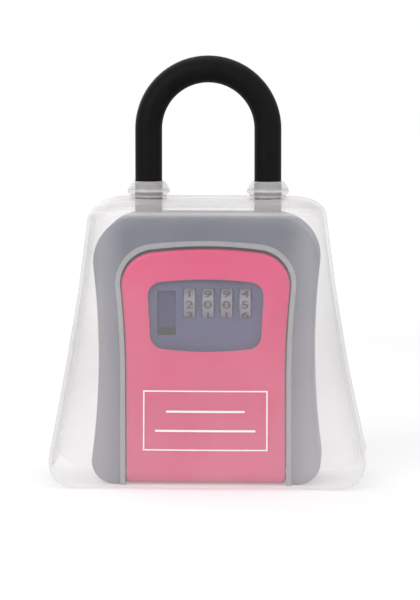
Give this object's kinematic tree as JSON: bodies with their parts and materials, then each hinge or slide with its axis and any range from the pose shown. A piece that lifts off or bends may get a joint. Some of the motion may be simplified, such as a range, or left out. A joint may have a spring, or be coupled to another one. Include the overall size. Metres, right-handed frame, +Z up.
{
  "type": "lockbox protector cover",
  "caption": "Translucent flared rain hood with two leg collars, hung over a combination key lockbox with shackle, hinged door, number dials and sliding latch.",
  "frame": {"origin": "centre of the bounding box on the plane that the lockbox stands on", "axes": "+Z up along the shackle legs, -Y to the front with the door, +X to the right"},
  "size_m": [0.1228, 0.0632, 0.1667],
  "materials": {
    "hood_clear": "milky translucent flexible moulding, soft sheen",
    "jacket_rubber": "dark grey moulded elastomer, fine matt grain",
    "box_metal": "light grey powder coat on cast metal",
    "door_red": "crimson moulded plastic, satin",
    "panel_slate": "slate black moulded plastic",
    "dial_white": "white wheels with dark numbers",
    "hub_brass": "turned brass",
    "steel": "plain ground steel",
    "zinc": "die-cast light alloy, as cast",
    "sleeve_vinyl": "black vinyl tube, matt",
    "plate_black": "black moulded plastic",
    "black_oxide": "black oxide on steel, satin",
    "screw_zinc": "zinc plated"
  },
  "bodies": {
    "box": {"outer_jacket": "jacket_rubber", "inner_box": "box_metal", "hinge_pin": "steel", "shackle_block": "zinc", "lock_cover": "zinc", "lock_cover_screws": "screw_zinc", "lock_plate_spring": "steel"},
    "hood": {"protector_hood": "hood_clear"},
    "shackle": {"shackle_rod": "steel", "shackle_sleeve": "sleeve_vinyl"},
    "lock_plate": {"shackle_lock_plate": "steel", "shackle_release_button": "plate_black"},
    "door": {"door_shell": "door_red", "dial_panel": "panel_slate", "dial_axle": "steel", "detent_comb": "steel", "back_plate": "plate_black", "back_plate_screws": "screw_zinc", "latch_spring": "steel"},
    "latch": {"open_slider": "plate_black", "latch_plate": "black_oxide"},
    "code_lever": {"code_reset_lever": "door_red"},
    "dial_1": {"dial_1": "dial_white", "code_hub_1": "hub_brass"},
    "dial_2": {"dial_2": "dial_white", "code_hub_2": "hub_brass"},
    "dial_3": {"dial_3": "dial_white", "code_hub_3": "hub_brass"},
    "dial_4": {"dial_4": "dial_white", "code_hub_4": "hub_brass"}
  },
  "joints": [
    {"name": "hood_lift", "type": "slide", "parent": "box", "child": "hood", "axis": [0, 0, 1], "range_m": [0, 0.02]},
    {"name": "shackle_pull", "type": "slide", "parent": "box", "child": "shackle", "axis": [0, 0, 1], "range_m": [0, 0.026]},
    {"name": "lock_plate_slide", "type": "slide", "parent": "box", "child": "lock_plate", "axis": [1, 0, 0], "range_m": [-0.002, 0], "deforming": ["lock_plate_spring"]},
    {"name": "door_hinge", "type": "hinge", "parent": "box", "child": "door", "pos_m": [0, -0.0155, 0.0051], "axis": [1, 0, 0], "range_deg": [0, 90], "deforming": ["protector_hood"]},
    {"name": "latch_slide", "type": "slide", "parent": "door", "child": "latch", "axis": [0, 0, 1], "range_m": [-0.004, 0], "deforming": ["latch_spring"]},
    {"name": "code_lever_slide", "type": "slide", "parent": "door", "child": "code_lever", "axis": [1, 0, 0], "range_m": [0, 0.003]},
    {"name": "dial_1_spin", "type": "hinge", "parent": "door", "child": "dial_1", "pos_m": [-0.0063, -0.0129, 0.0708], "axis": [1, 0, 0], "continuous": true},
    {"name": "dial_2_spin", "type": "hinge", "parent": "door", "child": "dial_2", "pos_m": [0.0009, -0.0129, 0.0708], "axis": [1, 0, 0], "continuous": true},
    {"name": "dial_3_spin", "type": "hinge", "parent": "door", "child": "dial_3", "pos_m": [0.0081, -0.0129, 0.0708], "axis": [1, 0, 0], "continuous": true},
    {"name": "dial_4_spin", "type": "hinge", "parent": "door", "child": "dial_4", "pos_m": [0.0153, -0.0129, 0.0708], "axis": [1, 0, 0], "continuous": true}
  ]
}
